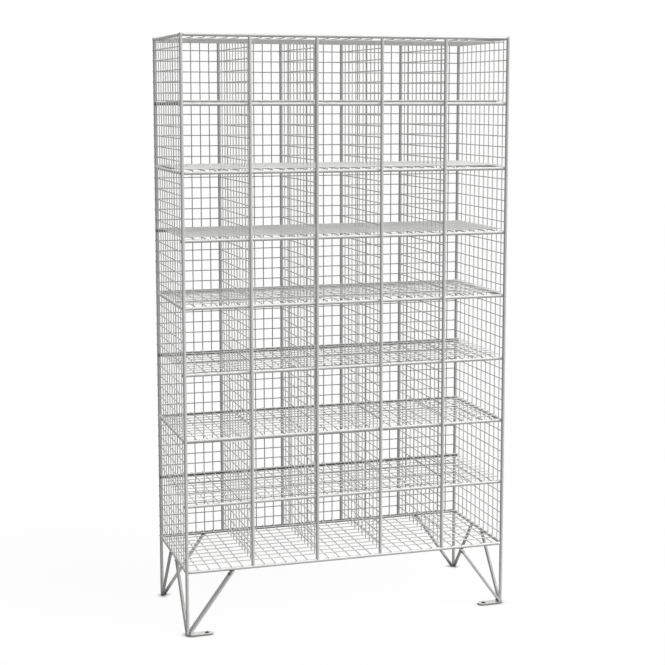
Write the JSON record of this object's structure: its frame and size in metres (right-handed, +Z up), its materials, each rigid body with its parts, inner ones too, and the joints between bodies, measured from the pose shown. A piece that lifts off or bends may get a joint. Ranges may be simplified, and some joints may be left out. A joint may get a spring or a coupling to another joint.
{
  "type": "wire mesh locker",
  "caption": "Open-front wire mesh locker of stacked pigeon-hole compartments in a welded rod frame, on braced legs with bolt-down tabs.",
  "frame": {"origin": "on the floor, under the middle of the locker's bounding box", "axes": "+Z up, +X to the right for someone facing the open front, which faces -Y"},
  "size_m": [0.788, 0.324, 1.37],
  "materials": {
    "silver_coated_steel": "satin silver-grey coat over welded steel rod and wire"
  },
  "bodies": {
    "root": {"back_mesh": "silver_coated_steel", "base_mesh": "silver_coated_steel", "bottom_rail_front": "silver_coated_steel", "bottom_rail_left": "silver_coated_steel", "bottom_rail_rear": "silver_coated_steel", "bottom_rail_right": "silver_coated_steel", "divider_front_rod_1": "silver_coated_steel", "divider_front_rod_2": "silver_coated_steel", "divider_front_rod_3": "silver_coated_steel", "divider_front_rod_4": "silver_coated_steel", "divider_mesh_1": "silver_coated_steel", "divider_mesh_2": "silver_coated_steel", "divider_mesh_3": "silver_coated_steel", "divider_mesh_4": "silver_coated_steel", "divider_rear_rod_1": "silver_coated_steel", "divider_rear_rod_2": "silver_coated_steel", "divider_rear_rod_3": "silver_coated_steel", "divider_rear_rod_4": "silver_coated_steel", "foot_strap_left": "silver_coated_steel", "foot_strap_right": "silver_coated_steel", "left_side_mesh": "silver_coated_steel", "post_front_left": "silver_coated_steel", "post_front_right": "silver_coated_steel", "post_rear_left": "silver_coated_steel", "post_rear_right": "silver_coated_steel", "rear_brace_left": "silver_coated_steel", "rear_brace_right": "silver_coated_steel", "right_side_mesh": "silver_coated_steel", "shelf_front_rod_1": "silver_coated_steel", "shelf_front_rod_2": "silver_coated_steel", "shelf_front_rod_3": "silver_coated_steel", "shelf_front_rod_4": "silver_coated_steel", "shelf_front_rod_5": "silver_coated_steel", "shelf_front_rod_6": "silver_coated_steel", "shelf_front_rod_7": "silver_coated_steel", "shelf_mesh_1": "silver_coated_steel", "shelf_mesh_2": "silver_coated_steel", "shelf_mesh_3": "silver_coated_steel", "shelf_mesh_4": "silver_coated_steel", "shelf_mesh_5": "silver_coated_steel", "shelf_mesh_6": "silver_coated_steel", "shelf_mesh_7": "silver_coated_steel", "shelf_rear_rods": "silver_coated_steel", "side_brace_front_left": "silver_coated_steel", "side_brace_front_right": "silver_coated_steel", "side_brace_rear_left": "silver_coated_steel", "side_brace_rear_right": "silver_coated_steel", "side_rail_2_left": "silver_coated_steel", "side_rail_2_right": "silver_coated_steel", "side_rail_4_left": "silver_coated_steel", "side_rail_4_right": "silver_coated_steel", "side_rail_6_left": "silver_coated_steel", "side_rail_6_right": "silver_coated_steel", "top_mesh": "silver_coated_steel", "top_rail_front": "silver_coated_steel", "top_rail_left": "silver_coated_steel", "top_rail_rear": "silver_coated_steel", "top_rail_right": "silver_coated_steel"}
  },
  "joints": []
}
